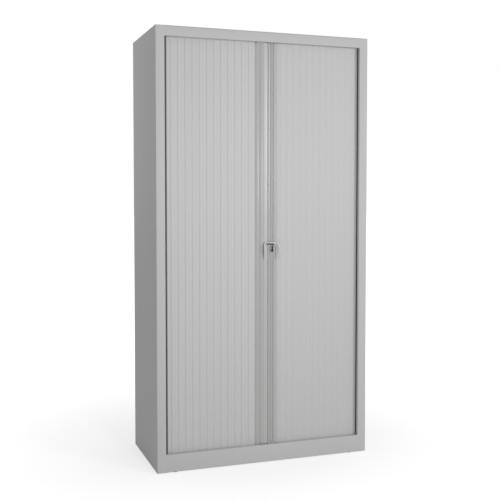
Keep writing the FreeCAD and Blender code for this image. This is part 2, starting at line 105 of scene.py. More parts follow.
# %% Folded sheet
SHEET = 1.0
FOLD = 2.0
EDGE_SHARE = 0.25


def sheet_outline(points):
    """The section of a folded sheet, with its thickness to the left of the path."""
    path = [Vector(p) for p in points]
    ways = [unit(b - a) for a, b in zip(path, path[1:])]
    lefts = [Vector((-w.y, w.x)) for w in ways]
    edge = SHEET * EDGE_SHARE
    inner, near, far = [path[0] + lefts[0] * SHEET], [edge], [edge]
    for i in range(1, len(path) - 1):
        a, b = lefts[i - 1], lefts[i]
        inner.append(path[i] + (a + b) * (SHEET / (1 + a.dot(b))))
        turns_left = ways[i - 1].x * ways[i].y - ways[i - 1].y * ways[i].x > 0
        near.append(FOLD if turns_left else FOLD - SHEET)
        far.append(FOLD - SHEET if turns_left else FOLD)
    inner.append(path[-1] + lefts[-1] * SHEET)
    return with_arcs(path + inner[::-1], near + [edge, edge] + far[1:][::-1] + [edge])


def mirrored(points):
    return [(-x, y) for x, y in points]


print("an angle of sheet has", len(sheet_outline([(0, 0), (20, 0), (20, 20)])), "points")

# %% [markdown]
# ## From outline to mesh
#
# An outline becomes a solid with two end faces and one face for each of its edges. Smooth
# shading is cut at every edge sharper than 30 degrees, so an arc of six steps looks round and a
# true edge stays crisp. A lathe does the same for round pieces such as the lock's collar.

# %% Solids from outlines
SHARP = math.radians(30)
PLACE = {
    "x": lambda p, q, along: (along, p, q),
    "y": lambda p, q, along: (p, along, q),
    "z": lambda p, q, along: (p, q, along),
}


def shade_crisply(mesh):
    mesh.shade_smooth()
    mesh.set_sharp_from_angle(angle=SHARP)


def as_object(name, shape):
    """Turns a bmesh in millimetres into a closed, smooth-shaded object."""
    bmesh.ops.scale(shape, vec=(MM, MM, MM), verts=shape.verts)
    bmesh.ops.recalc_face_normals(shape, faces=shape.faces)
    mesh = bpy.data.meshes.new(name)
    shape.to_mesh(mesh)
    shape.free()
    shade_crisply(mesh)
    made = bpy.data.objects.new(name, mesh)
    bpy.context.scene.collection.objects.link(made)
    return made


def add_prism(shape, outline, axis, start, end):
    """Adds an outline pushed from start to end along an axis."""
    place = PLACE[axis]
    low = [shape.verts.new(place(p, q, start)) for p, q in outline]
    high = [shape.verts.new(place(p, q, end)) for p, q in outline]
    count = len(outline)
    for i in range(count):
        j = (i + 1) % count
        shape.faces.new((low[i], low[j], high[j], high[i]))
    caps = [shape.faces.new(low[::-1]), shape.faces.new(high)]
    bmesh.ops.triangulate(shape, faces=caps, ngon_method="EAR_CLIP")


def prism(name, outline, axis, start, end):
    shape = bmesh.new()
    add_prism(shape, outline, axis, start, end)
    return as_object(name, shape)


print("prisms run along", ", ".join(PLACE))

# %% Round pieces
ROUND_STEPS = 48


def add_lathe(shape, profile, centre, axis, steps=ROUND_STEPS):
    """Adds a profile of (radius, distance) turned about an axis through a centre."""
    place, centre, rings = PLACE[axis], Vector(centre), []
    for radius, along in profile:
        angles = [2 * math.pi * k / steps for k in range(steps)] if radius > 0 else [0]
        ring = [place(radius * math.cos(a), radius * math.sin(a), along) for a in angles]
        rings.append([shape.verts.new(centre + Vector(point)) for point in ring])
    for a, b in zip(rings, rings[1:]):
        for k in range(steps):
            j = (k + 1) % steps
            corners = [a[k % len(a)], a[j % len(a)], b[j % len(b)], b[k % len(b)]]
            shape.faces.new(list(dict.fromkeys(corners)))


def lathe(name, profile, centre, axis, steps=ROUND_STEPS):
    shape = bmesh.new()
    add_lathe(shape, profile, centre, axis, steps)
    return as_object(name, shape)


print("round pieces have", ROUND_STEPS, "steps")

# %% [markdown]
# ## Cutting and softening
#
# Some pieces are easier to carve than to draw: a bore through a rail, the window of a grip. An
# exact Boolean does that. A narrow bevel then softens the edges of moulded pieces, as the mould
# does. Both modifiers are applied at once, so that only plain meshes are left in the scene.

# %% Boolean and bevel
def settled(made):
    """Applies a piece's modifiers to its mesh."""
    bpy.context.view_layer.update()
    evaluated = made.evaluated_get(bpy.context.evaluated_depsgraph_get())
    shaped = bpy.data.meshes.new_from_object(evaluated)
    made.modifiers.clear()
    made.data = shaped
    shade_crisply(shaped)
    return made


def combined(made, operation, *tools):
    """Cuts tools out of a piece, or keeps what it shares with them, and removes the tools."""
    for tool in tools:
        step = made.modifiers.new("cut", "BOOLEAN")
        step.operation, step.solver, step.object = operation, "EXACT", tool
    settled(made)
    for tool in tools:
        bpy.data.objects.remove(tool)
    return made


def softened(made, width, segments=3, angle=35):
    """Rounds every edge that is sharper than an angle."""
    step = made.modifiers.new("soften", "BEVEL")
    step.width, step.segments, step.limit_method = width * MM, segments, "ANGLE"
    step.angle_limit = math.radians(angle)
    return settled(made)


def box(name, x, y, z):
    """A block to carve with, between two values along each axis."""
    corners = rectangle((min(x), max(x)), (min(y), max(y)))
    return prism(name, corners, "z", min(z), max(z))


print("carving tools ready")

# %% [markdown]
# ## Finishes
#
# A finish is a small network of nodes. Two helpers keep it readable. `Value` wraps a number that
# varies over the surface, so that sums can be written as Python writes them. `Finish.node` makes
# any node from its type, its settings and its sockets. Each finish then says in a few lines what
# varies: colour, roughness, and a fine relief through a Bump node. `drifting` lets a noise move
# the colour a little, and `swing` does the same for the roughness.

# %% Values and finishes
MIX_FIRST, MIX_SECOND, MIX_RESULT = 6, 7, 2
NOISE_LOW, NOISE_MIDDLE, NOISE_HIGH = 0.3, 0.5, 0.7


class Value:
    """A number that varies over a surface."""

    def __init__(self, finish, socket):
        self.finish, self.socket = finish, socket

    def maths(self, operation, first, second):
        return self.finish.node("ShaderNodeMath", {"operation": operation}, {0: first, 1: second})

    def __add__(self, other):
        return self.maths("ADD", self, other)

    def __sub__(self, other):
        return self.maths("SUBTRACT", self, other)

    def __rsub__(self, other):
        return self.maths("SUBTRACT", other, self)

    def __mul__(self, other):
        return self.maths("MULTIPLY", self, other)

    __radd__ = __add__
    __rmul__ = __mul__

    def swing(self, amount):
        """Turns a noise into a small change up and down."""
        return (self - NOISE_MIDDLE) * amount


class Finish:
    """A material made of nodes."""

    def __init__(self, name):
        self.material = bpy.data.materials.new(name)
        self.material.use_nodes = True
        self.tree = self.material.node_tree
        self.tree.nodes.clear()
        self.place = self.node("ShaderNodeTexCoord", out="Object")

    def node(self, kind, settings=None, sockets=None, out=0):
        made = self.tree.nodes.new(kind)
        for key, value in (settings or {}).items():
            setattr(made, key, value)
        for key, value in (sockets or {}).items():
            if isinstance(value, Value):
                self.tree.links.new(value.socket, made.inputs[key])
            else:
                made.inputs[key].default_value = value
        return Value(self, made.outputs[out]) if made.outputs else made

    def stretched(self, scale):
        """The place on the surface, multiplied by a scale for each axis."""
        sockets = {0: self.place, 1: scale}
        return self.node("ShaderNodeVectorMath", {"operation": "MULTIPLY"}, sockets)

    def noise(self, scale, detail=2.0, roughness=0.5):
        sockets = {"Vector": self.stretched(scale), "Scale": 1.0}
        sockets.update({"Detail": detail, "Roughness": roughness})
        return self.node("ShaderNodeTexNoise", None, sockets)

    def between(self, value, low, high):
        """Runs from 0 to 1 as a value goes from low to high."""
        sockets = {"Value": value, "From Min": low, "From Max": high}
        return self.node("ShaderNodeMapRange", None, sockets)

    def blend(self, factor, first, second):
        """Goes from one colour to another. Each is plain or varies itself."""
        sockets = {0: factor}
        for socket, colour in ((MIX_FIRST, first), (MIX_SECOND, second)):
            sockets[socket] = (*colour, 1) if isinstance(colour, tuple) else colour
        return self.node("ShaderNodeMix", {"data_type": "RGBA"}, sockets, out=MIX_RESULT)

    def drifting(self, noise, colour, amount):
        """A colour that a noise makes a little darker here and lighter there."""
        factor = self.between(noise, NOISE_LOW, NOISE_HIGH)
        return self.blend(factor, shade(colour, 1 - amount), shade(colour, 1 + amount))

    def relief(self, height, strength, distance):
        sockets = {"Height": height, "Strength": strength, "Distance": distance}
        return self.node("ShaderNodeBump", None, sockets)

    def surface(self, **sockets):
        """Closes the network with the main shader."""
        sockets = {key.replace("_", " "): value for key, value in sockets.items()}
        shader = self.node("ShaderNodeBsdfPrincipled", None, sockets)
        self.node("ShaderNodeOutputMaterial", None, {"Surface": shader})
        return self.material


def shade(colour, factor):
    """A colour made lighter or darker."""
    return tuple(c * factor for c in colour)


print("finish tools ready")

# %% [markdown]
# ## Powder coat
#
# The shell is steel sheet under light grey powder coat. Powder melts into a skin that is never
# quite level: close up it has a soft orange-peel relief about a millimetre across, and over a
# whole panel the tone drifts by a percent or two. A second, sparse noise gives the fine dark
# and light specks of the pigment. The colour is a plain grey that gives back half of the light.

# %% Powder coat finish
COAT_GREY, COAT_DRIFT = (0.508, 0.512, 0.508), 0.018
COAT_GLOSS = 0.22
PEEL = 900.0
CLOUD = 3.0
SPECK = 2600.0
SPECK_FROM, SPECK_TO = 0.62, 0.72
SPECK_STRENGTH, SPECK_SHADE = 0.10, 0.7


def powder_coat(name, colour, roughness=0.50):
    finish = Finish(name)
    cloud = finish.noise((CLOUD, CLOUD, CLOUD * 0.6), detail=3.0)
    peel = finish.noise((PEEL, PEEL, PEEL), detail=1.0)
    speck = finish.between(finish.noise((SPECK, SPECK, SPECK), detail=0.0), SPECK_FROM, SPECK_TO)
    tone = finish.drifting(cloud, colour, COAT_DRIFT)
    tone = finish.blend(speck * SPECK_STRENGTH, tone, shade(colour, SPECK_SHADE))
    return finish.surface(
        Base_Color=tone,
        Roughness=roughness + cloud.swing(0.10) + peel.swing(0.05),
        Normal=finish.relief(peel, 0.10, 0.15 * MM),
        Specular_IOR_Level=COAT_GLOSS,
    )


shell_finish = powder_coat("shell_powder_coat", COAT_GREY)
inside_finish = powder_coat("inside_powder_coat", shade(COAT_GREY, 0.98), roughness=0.52)
print("made", shell_finish.name, "and", inside_finish.name)

# %% [markdown]
# ## Drawn plastic of slats and rails
#
# Slats and lead rails are pressed through a die, and the die leaves fine lines along their
# whole length. A noise that is squeezed across and stretched upwards gives such lines: many
# narrow ones in the relief, and broader, paler ones in the tone. A slow noise lets the tone
# drift from slat to slat as well, because no two strips from a roll match exactly.

# %% Slat and rail finish
SLAT_GREY = (0.535, 0.538, 0.533)
RAIL_GREY = (0.445, 0.448, 0.443)
LINES = (950.0, 950.0, 1.1)
STREAKS = (95.0, 95.0, 0.35)
DOOR_CLOUD = (2.2, 2.2, 1.1)
CLOUD_FROM, CLOUD_TO = 0.35, 0.65
CLOUD_STRENGTH, CLOUD_SHADE = 0.35, 0.96


def drawn_plastic(name, colour, roughness=0.46, streak=0.014, sheen=0.30):
    finish = Finish(name)
    lines = finish.noise(LINES, detail=2.0, roughness=0.6)
    streaks = finish.noise(STREAKS, detail=3.0, roughness=0.7)
    cloud = finish.between(finish.noise(DOOR_CLOUD, detail=2.0), CLOUD_FROM, CLOUD_TO)
    tone = finish.drifting(streaks, colour, streak)
    tone = finish.blend(cloud * CLOUD_STRENGTH, tone, shade(colour, CLOUD_SHADE))
    return finish.surface(
        Base_Color=tone,
        Roughness=roughness + streaks.swing(0.12) + lines.swing(0.08),
        Normal=finish.relief(lines * 0.6 + streaks * 0.4, 0.12, 0.20 * MM),
        Specular_IOR_Level=sheen,
    )


slat_finish = drawn_plastic("slat_satin_plastic", SLAT_GREY)
rail_finish = drawn_plastic(
    "rail_satin_plastic", RAIL_GREY, roughness=0.28, streak=0.010, sheen=0.50,
)
print("made", slat_finish.name, "and", rail_finish.name)

# %% [markdown]
# ## Moulded plastics
#
# The grips, the feet that run in the tracks, the key's bow and the floor glides are injection
# moulded. The mould is spark-eroded, which leaves an even, very fine grain with no direction.
# One fine noise makes the grain, and a slow one lets the tone and the gloss wander a little.

# %% Moulded finishes
GRAIN = 1500.0
WANDER = 18.0


def moulded(name, colour, roughness, grain=0.12, drift=0.015):
    finish = Finish(name)
    fine = finish.noise((GRAIN, GRAIN, GRAIN), detail=3.0)
    slow = finish.noise((WANDER, WANDER, WANDER), detail=2.0)
    return finish.surface(
        Base_Color=finish.drifting(slow, colour, drift),
        Roughness=roughness + fine.swing(0.10) + slow.swing(0.08),
        Normal=finish.relief(fine, grain, 0.10 * MM),
    )


grip_finish = moulded("grip_moulded_plastic", (0.515, 0.518, 0.513), 0.36)
runner_finish = moulded("runner_waxy_plastic", (0.78, 0.78, 0.74), 0.30, grain=0.06)
glide_finish = moulded("glide_black_plastic", (0.022, 0.022, 0.022), 0.55, drift=0.10)
bow_finish = moulded("key_bow_plastic", (0.012, 0.012, 0.013), 0.50, drift=0.10)
# The black pad finish is partly painted shade. The pads under the grip's top rim stand in for the
# deep shadow there, and they are also a black rubber part.
dark_pad_painted_shade_finish = moulded("black_pad_painted_shade", (0.014, 0.014, 0.014), 0.70, grain=0.20, drift=0.12)
print("made five moulded finishes")

# %% [markdown]
# ## Plated metals
#
# Tracks, uprights, clips, cam and striker are zinc plated. Bright zinc has a cool, slightly
# milky shine with faint patches. The lock's collar, plug and the key's blade are nickel plated,
# which is darker and a little warmer here, with fine turning marks. Both are metals, so their
# colour is the colour of the reflection, and roughness does most of the work.

# %% Plated finishes
DULL, BRIGHT = 0.92, 1.06


def plated(name, colour, roughness, patch, marks):
    finish = Finish(name)
    patches = finish.noise((patch, patch, patch), detail=3.0, roughness=0.65)
    fine = finish.noise(marks, detail=2.0)
    patchy = finish.between(patches, NOISE_LOW, NOISE_HIGH)
    return finish.surface(
        Base_Color=finish.blend(patchy, shade(colour, DULL), shade(colour, BRIGHT)),
        Metallic=1.0,
        Roughness=roughness + patches.swing(0.16) + fine.swing(0.10),
        Normal=finish.relief(fine, 0.08, 0.05 * MM),
    )


zinc_finish = plated(
    "zinc_plate", (0.60, 0.615, 0.63), roughness=0.36, patch=70.0, marks=(900.0, 900.0, 60.0),
)
nickel_finish = plated(
    "nickel_plate", (0.36, 0.355, 0.34), roughness=0.36, patch=160.0,
    marks=(1800.0, 400.0, 1800.0),
)
FINISH_OF_SLOT = {
    "shell_paint": shell_finish,
    "inside_paint": inside_finish,
    "slat_plastic": slat_finish,
    "rail_plastic": rail_finish,
    "grip_plastic": grip_finish,
    "runner_plastic": runner_finish,
    "glide_plastic": glide_finish,
    "lock_chrome": nickel_finish,
    "zinc": zinc_finish,
    "key_plastic": bow_finish,
    "pad_rubber": dark_pad_painted_shade_finish,
}
print("made", len(FINISH_OF_SLOT), "finishes in all")

# %% [markdown]
# ## Dressing a piece
#
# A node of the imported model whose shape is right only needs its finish. A piece made here has
# to ride on the node's body, stand in for the node, and name the slot of its finish. One helper
# does all of that, so that no piece is forgotten.

# %% Dress the carried-over nodes
SLOT_OF_NODE = {part["node"]: part["material_slot"] for part in frame["record"]["subparts"]}
BODY_OF_NODE = {
    node: body for body, nodes in frame["record"]["behaviour"]["bodies"].items() for node in nodes
}


def wear(made, finish):
    made.data.materials.clear()
    made.data.materials.append(finish)


def dress(made, node, slot=None, replaces=True):
    """Gives a new piece the finish and the body of a node, and lets it stand in for the node."""
    slot = slot or SLOT_OF_NODE[node]
    wear(made, FINISH_OF_SLOT[slot])
    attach(made, BODY_OF_NODE[node])
    if replaces:
        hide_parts(node)
    return made


for node, made in frame["nodes"].items():
    wear(made, FINISH_OF_SLOT[SLOT_OF_NODE[node]])
print("dressed", len(frame["nodes"]), "nodes")

# %% [markdown]
# ## Shell
#
# Each side of the cupboard is one sheet. It starts behind the opening as a lip, turns into the
# front stile, runs back as the side and ends in a flange behind. Drawing that as one path gives
# the soft bright line that a press brake leaves at each fold. The rails over and under the doors
# are butted against the stiles, welded and ground flush, so they run up to the flat of the stile.

# %% Sides
HALF_WIDTH, HALF_DEPTH, HEIGHT = 480.0, 225.0, 1850.0
STILE_INNER = 442.0
FRONT = -HALF_DEPTH
GLIDE_RISE = 2.0
TUCK = 1.3
STILE_LIP, REAR_FLANGE = 15.0, 20.0
NAME = {-1: "left", 1: "right"}
SIDE_PATH = [
    (STILE_INNER, FRONT + STILE_LIP), (STILE_INNER, FRONT), (HALF_WIDTH, FRONT),
    (HALF_WIDTH, HALF_DEPTH), (HALF_WIDTH - REAR_FLANGE, HALF_DEPTH),
]
SIDE_Z = (GLIDE_RISE, HEIGHT - TUCK)

side_section = sheet_outline(SIDE_PATH)
dress(prism("right_side", side_section, "z", *SIDE_Z), "right_side_panel")
dress(prism("left_side", mirrored(side_section), "z", *SIDE_Z), "left_side_panel")
print("side section has", len(side_section), "points")

# %% Rails over and under the doors
OPENING = (76.0, 1808.0)
HEM, HEM_Y = 12.0, FRONT + 21.0
TOP_FLANGE, BASE_FLANGE = 20.0, 25.0
RAIL_X = STILE_INNER + FOLD

top_path = [
    (FRONT + TOP_FLANGE, HEIGHT - TUCK), (FRONT, HEIGHT - TUCK), (FRONT, OPENING[1]),
    (HEM_Y, OPENING[1]), (HEM_Y, OPENING[1] + HEM),
]
plinth_path = [
    (HEM_Y, OPENING[0] - HEM), (HEM_Y, OPENING[0]), (FRONT, OPENING[0]),
    (FRONT, GLIDE_RISE), (FRONT + BASE_FLANGE, GLIDE_RISE),
]
dress(prism("rail_over_doors", sheet_outline(top_path), "x", -RAIL_X, RAIL_X), "top_rail")
dress(prism("plinth", sheet_outline(plinth_path), "x", -RAIL_X, RAIL_X), "plinth_rail")
print("rails are", 2 * RAIL_X, "mm long")

# %% Top panel
BACK_SHEET = 222.4
SIDE_FLANGE = 16.0
top_outline = with_arcs(rectangle((-HALF_WIDTH, HALF_WIDTH), (FRONT, HALF_DEPTH)), FOLD)
top = softened(prism("top_sheet", top_outline, "z", HEIGHT - SHEET, HEIGHT), 0.3)
dress(top, "top_panel")
for side in (-1, 1):
    edge = side * (HALF_WIDTH - TUCK)
    flange = box(
        f"top_flange_{NAME[side]}", (edge, edge - side * SHEET),
        (HEM_Y + SHEET, BACK_SHEET), (HEIGHT - SIDE_FLANGE, HEIGHT - SHEET),
    )
    dress(flange, "top_panel", replaces=False)
print("top panel with two flanges")

# %% [markdown]
# ## Slats
#
# A curtain's slat is a strip 31 mm wide. Its front is made of two gently crowned lobes with a
# fine groove between them, which is why the doors show faint lines at half the pitch. Each strip
# leans in by a few degrees, and its inner end slips under the next one. Its outer edge falls away
# over five millimetres, so that the step to the next slat stays a faint line and doesn't catch
# fingers. The crown is only a tenth of a millimetre, so that parked slats don't touch.

# %% Slat section
CURTAIN = -203.0
PITCH, STEP, THICK, LAP = 31.0, 1.6, 1.2, 3.5
LEAN = math.atan(STEP / PITCH)
CROWN, LOBE_STEPS = 0.12, 8
NOSE, NOSE_FALL = 5.0, 0.90
GROOVE, GROOVE_DEPTH = 0.8, 0.5
EDGE, SHARP_EDGE = 0.3, 0.1
SLAT_Z = (64.0, 1820.0)
REACH = {-1: 42.0, 1: 58.0}
SLATS = 13


def on_slat(side, number):
    """Gives a function that places a point by its distance along a slat and its depth in it."""
    outer = REACH[side] + PITCH * number

    def at(along, deep):
        x = outer - along * math.cos(LEAN) - deep * math.sin(LEAN)
        return side * x, CURTAIN + along * math.sin(LEAN) + deep * math.cos(LEAN)

    return at


def lobe(start, end):
    """Points of a crowned lobe between two distances along a slat."""
    steps = [k / LOBE_STEPS for k in range(LOBE_STEPS + 1)]
    return [(start + t * (end - start), -CROWN * 4 * t * (1 - t), 0) for t in steps]


def slat_section(side, number):
    """A slat's nose, lobe, groove, lobe and flat back, each point with its radius."""
    at, middle, over = on_slat(side, number), PITCH / 2, PITCH + LAP
    line = [(0.0, NOSE_FALL, EDGE / 2), (NOSE * 0.4, NOSE_FALL * 0.40, 2.0)]
    line += lobe(NOSE, middle - GROOVE) + [(middle, GROOVE_DEPTH, 0.2)]
    line += lobe(middle + GROOVE, over)[:-1]
    line += [(over, 0.0, EDGE), (over, THICK, EDGE), (0.0, THICK, SHARP_EDGE)]
    places = [at(along, deep) for along, deep, _ in line]
    return with_arcs(places, [radius for _, _, radius in line], steps=4)


print("a slat's section has", len(slat_section(1, 1)), "points")

# %% Slats of both doors
for side in (-1, 1):
    for number in range(1, SLATS):
        node = f"{NAME[side]}_slat_{number:02d}"
        dress(prism(f"{node}_strip", slat_section(side, number), "z", *SLAT_Z), node)
print("made", 2 * (SLATS - 1), "slats")

# %% Tail slats
KNEE = {-1: 429.4, 1: 442.4}
TAIL_TURN = {-1: math.radians(68), 1: math.radians(86)}
TAIL_LENGTH = {-1: 12.4, 1: 9.0}
BEND = 2.4


def tail_section(side):
    """The last slat, which has begun to turn back behind the stile."""
    outer = REACH[side] + PITCH * SLATS
    knee_along = (outer - KNEE[side]) / math.cos(LEAN)

    def flat(along, deep):
        x = outer - along * math.cos(LEAN) - deep * math.sin(LEAN)
        return x, CURTAIN + along * math.sin(LEAN) + deep * math.cos(LEAN)

    knee, turn = flat(knee_along, 0), TAIL_TURN[side]

    def bent(along, deep):
        x = knee[0] + along * math.cos(turn) - deep * math.sin(turn)
        return x, knee[1] + along * math.sin(turn) + deep * math.cos(turn)

    inside, over, length = THICK * math.tan((turn + LEAN) / 2), PITCH + LAP, TAIL_LENGTH[side]
    corners = [
        flat(over, 0), knee, bent(length, 0),
        bent(length, THICK), bent(inside, THICK), flat(over, THICK),
    ]
    radii = [EDGE, BEND, EDGE, EDGE, BEND - THICK, EDGE]
    return with_arcs([(side * x, y) for x, y in corners], radii, steps=10)


for side in (-1, 1):
    node = f"{NAME[side]}_slat_{SLATS:02d}"
    dress(prism(f"{node}_strip", tail_section(side), "z", *SLAT_Z), node)
print("made the two tail slats")

# %% [markdown]
# ## Lead rails
#
# The doors meet in two stiff rails of reeded section. The left one has a flat crest and two broad
# lobes that fall back step by step, the right one two narrow reeds and a broad facet. Every lobe
# rises slowly on its left and drops off sharply on its right. The slow flank turns away from the
# light and shades from dark to pale, and that draws the upright lines beside the joint. The rails
# are hollow, and the right one is bored for the lock.

# %% Lead rail tools
END_GAP = 2.5
LEAD_Z = (OPENING[0] + END_GAP, OPENING[1] - END_GAP)
CREST = CURTAIN - 6.5
LEAD_BACK = CURTAIN + 9.0
LIP = STEP - 0.3
MEETING, GAP = 15.0, 0.6
WALL = 2.0
REBATE = 4.5


def rail_outline(side, front, inner, reach):
    """A rail's section: its front, the lip over the first slat and a flat back.

    Each point of the front is its place across, its fall behind the crest and its radius.
    """
    line = [((x, CREST + fall), radius) for x, fall, radius in front] + [
        ((reach, CURTAIN + LIP), 0.2), ((reach - REBATE, CURTAIN + LIP), 0),
        ((reach - REBATE, LEAD_BACK), 0.5), ((inner, LEAD_BACK), 0.5),
    ]
    places = [(side * x, y) for (x, y), _ in line]
    return with_arcs(places, [radius for _, radius in line], steps=8)


print("crest of the rails at y", CREST)

# %% Left lead rail
LEFT_INNER = -(MEETING - GAP / 2)
LEAD_ROUND = 3.5
NEAR_VALLEY, FAR_VALLEY = 5.7, 23.3
DEEPEST, EDGE_FALL = 5.8, 7.0
NEAR_HOLLOW = 1.6
left_front = [
    (LEFT_INNER, 0.4, LEAD_ROUND), (NEAR_VALLEY - 1.2, 0.0, 1.5), (NEAR_VALLEY, 1.2, 0.25),
    (NEAR_VALLEY + 0.9, 0.05, 1.0), (12.5, 0.8, 12.0), (19.0, 3.2, 6.0),
    (FAR_VALLEY, DEEPEST, 0.3),
    (FAR_VALLEY + 1.3, 1.2, 1.0), (30.0, 2.0, 12.0), (36.0, 4.2, 6.0),
    (REACH[-1], EDGE_FALL, 0.3),
]
left_outline = rail_outline(-1, left_front, LEFT_INNER, REACH[-1])
left_rail = prism("left_rail", left_outline, "z", *LEAD_Z)
combined(
    left_rail, "DIFFERENCE",
    box("near_hollow", (-LEFT_INNER - WALL, WALL - NEAR_VALLEY),
        (CREST + NEAR_HOLLOW + WALL, LEAD_BACK - WALL), LEAD_Z),
    box("far_hollow", (-NEAR_VALLEY - WALL, -REACH[-1] + REBATE + WALL),
        (CREST + DEEPEST + WALL, LEAD_BACK - WALL), LEAD_Z),
)
dress(left_rail, "left_lead_rail")
print("left rail with", len(left_rail.data.polygons), "faces")

# %% Right lead rail
RIGHT_INNER = MEETING + GAP / 2
REED_DEPTH = 5.6
LOCK_X, LOCK_Z = 33.0, 926.0
BORE_RADIUS, BORE_Y = 9.1, (-240.0, -180.0)
right_front = [
    (RIGHT_INNER, 2.4, 0.8), (18.2, 0.0, 1.4), (22.2, 0.45, 1.0), (24.8, REED_DEPTH, 0.3),
    (31.8, 0.7, 1.8), (35.2, 0.2, 1.0), (37.9, REED_DEPTH, 0.3),
    (41.4, 1.6, 1.6), (REACH[1] - 3.0, 0.2, 3.0), (REACH[1], 1.3, 0.5),
]


def drill(name, radius):
    """A round bar on the lock's axis, to cut a bore with."""
    start, end = BORE_Y
    profile = [(0, start), (radius, start), (radius, end), (0, end)]
    return lathe(name, profile, (LOCK_X, 0, LOCK_Z), "y")


right_outline = rail_outline(1, right_front, RIGHT_INNER, REACH[1])
right_rail = prism("right_rail", right_outline, "z", *LEAD_Z)
combined(
    right_rail, "DIFFERENCE",
    box("hollow", (RIGHT_INNER + WALL, REACH[1] - REBATE - WALL),
        (CREST + REED_DEPTH + WALL, LEAD_BACK - WALL), LEAD_Z),
    drill("bore", BORE_RADIUS),
)
dress(right_rail, "right_lead_rail")
print("right rail bored at x", LOCK_X, "z", LOCK_Z)

# %% Runners
FOOT_INSET, FOOT_ROUND = 3.0, 1.5
FOOT_Y = (CURTAIN - 0.3, CURTAIN + 14.7)
for side, inner in ((-1, LEFT_INNER), (1, RIGHT_INNER)):
    start, end = inner + FOOT_INSET, REACH[side] - REBATE - FOOT_INSET
    foot = with_arcs(rectangle((side * start, side * end), FOOT_Y), FOOT_ROUND)
    shape = bmesh.new()
    add_prism(shape, foot, "z", SLAT_Z[0], LEAD_Z[0])
    add_prism(shape, foot, "z", LEAD_Z[1], SLAT_Z[1])
    dress(softened(as_object(f"{NAME[side]}_feet", shape), 0.6), f"{NAME[side]}_runners")
print("runners are", LEAD_Z[0] - SLAT_Z[0], "mm tall")

# %% [markdown]
# ## Grip
#
# Both doors share one arched pull, open below, which the meeting line splits into two hooks. Its
# face is crowned: it stands 13 mm proud at mid height and dies into the rails at its feet. On the
# right a ramp rises to the rim for the finger that pushes the door open. Carving it as the mould
# was milled is the plainest way: a block cut to the crown, less a window and a ramp. Then comes
# the cut at the meeting line, and then the soft edges. Last, the outer wall of the left hook is
# hollowed out a little from the left, which thins the moulding and leaves a dark crescent.

# %% Grip block
GRIP_X, GRIP_Z = (-6.0, 69.0), (877.0, 955.0)
GRIP_BACK = CREST - 0.1
GRIP_FACE, FLANGE, GRIP_TOP = GRIP_BACK - 13.0, GRIP_BACK - 2.0, GRIP_BACK - 6.5
CROWN_Z, CROWN_ROUND = 920.0, 60.0
RIM = 4.5
CORNERS = (12.0, 26.0)
RAMP_START, RAMP_END = GRIP_X[1] - 19.0, GRIP_X[1] - 2.0
OPEN_Z = (GRIP_Z[0] - CORNERS[1], GRIP_Z[1] - RIM)
PAST, FAR_FRONT, FAR_SIDE, FAR_Z = 5.0, -300.0, 200.0, (800.0, 1000.0)
UNDERCUT_X, UNDERCUT_Y = (-8.0, -3.2), (-216.2, GRIP_BACK - 0.6)
UNDERCUT_Z, UNDERCUT_RADII = (899.0, 945.0), [0, 1.2, 0.5, 0]


def upright_block(name, x, z, corners, y):
    """A block seen from the front, with its own corner radius left and right."""
    left, right = corners
    outline = with_arcs(rectangle(x, z), [left, right, right, left], steps=16)
    return prism(name, outline, "y", *y)


def arch_opening(name, inset, y):
    x = (GRIP_X[0] + RIM + inset, RAMP_START - inset)
    corners = [corner - RIM - inset for corner in CORNERS]
    return upright_block(name, x, (OPEN_Z[0], OPEN_Z[1] - inset), corners, y)


def arch_block(name):
    """The whole pull: a crowned block less its dish and its window."""
    block = upright_block(name, GRIP_X, GRIP_Z, CORNERS, (GRIP_FACE, GRIP_BACK))
    bottom, top = GRIP_Z
    crowned = with_arcs([
        (GRIP_BACK, bottom), (FLANGE, bottom), (GRIP_FACE, CROWN_Z), (GRIP_TOP, top),
        (GRIP_BACK, top),
    ], [0, 0, CROWN_ROUND, 0, 0], steps=24)
    combined(block, "INTERSECT", prism("crown", crowned, "x", GRIP_X[0] - 1, GRIP_X[1] + 1))
    dish_x, dish_y = (GRIP_X[0] + RIM, RAMP_END), (GRIP_FACE - PAST, FLANGE)
    dish = upright_block("dish", dish_x, OPEN_Z, [CORNERS[1] - RIM] * 2, dish_y)
    before_ramp = [
        (GRIP_X[0], FAR_FRONT), (RAMP_END, FAR_FRONT), (RAMP_END, GRIP_FACE),
        (RAMP_START, FLANGE), (GRIP_X[0], FLANGE),
    ]
    combined(dish, "INTERSECT", prism("before_ramp", before_ramp, "z", *OPEN_Z))
    window = arch_opening("window", 0, (GRIP_FACE - PAST, GRIP_BACK + PAST))
    return combined(block, "DIFFERENCE", dish, window)


def of_door(side, made):
    """Keeps the half of a piece that belongs to one door."""
    edge = MEETING + side * GAP / 2
    half = box("half", (edge, edge + side * FAR_SIDE), (FAR_FRONT, 0), FAR_Z)
    return combined(made, "INTERSECT", half)


undercut = with_arcs(rectangle(UNDERCUT_X, UNDERCUT_Y), UNDERCUT_RADII)
for side in (-1, 1):
    half = of_door(side, arch_block(f"{NAME[side]}_hook"))
    softened(half, 1.0, segments=4, angle=25)
    if side < 0:
        combined(half, "DIFFERENCE", prism("undercut", undercut, "z", *UNDERCUT_Z))
    dress(half, f"{NAME[side]}_grip")
    print(half.name, "has", len(half.data.polygons), "faces")
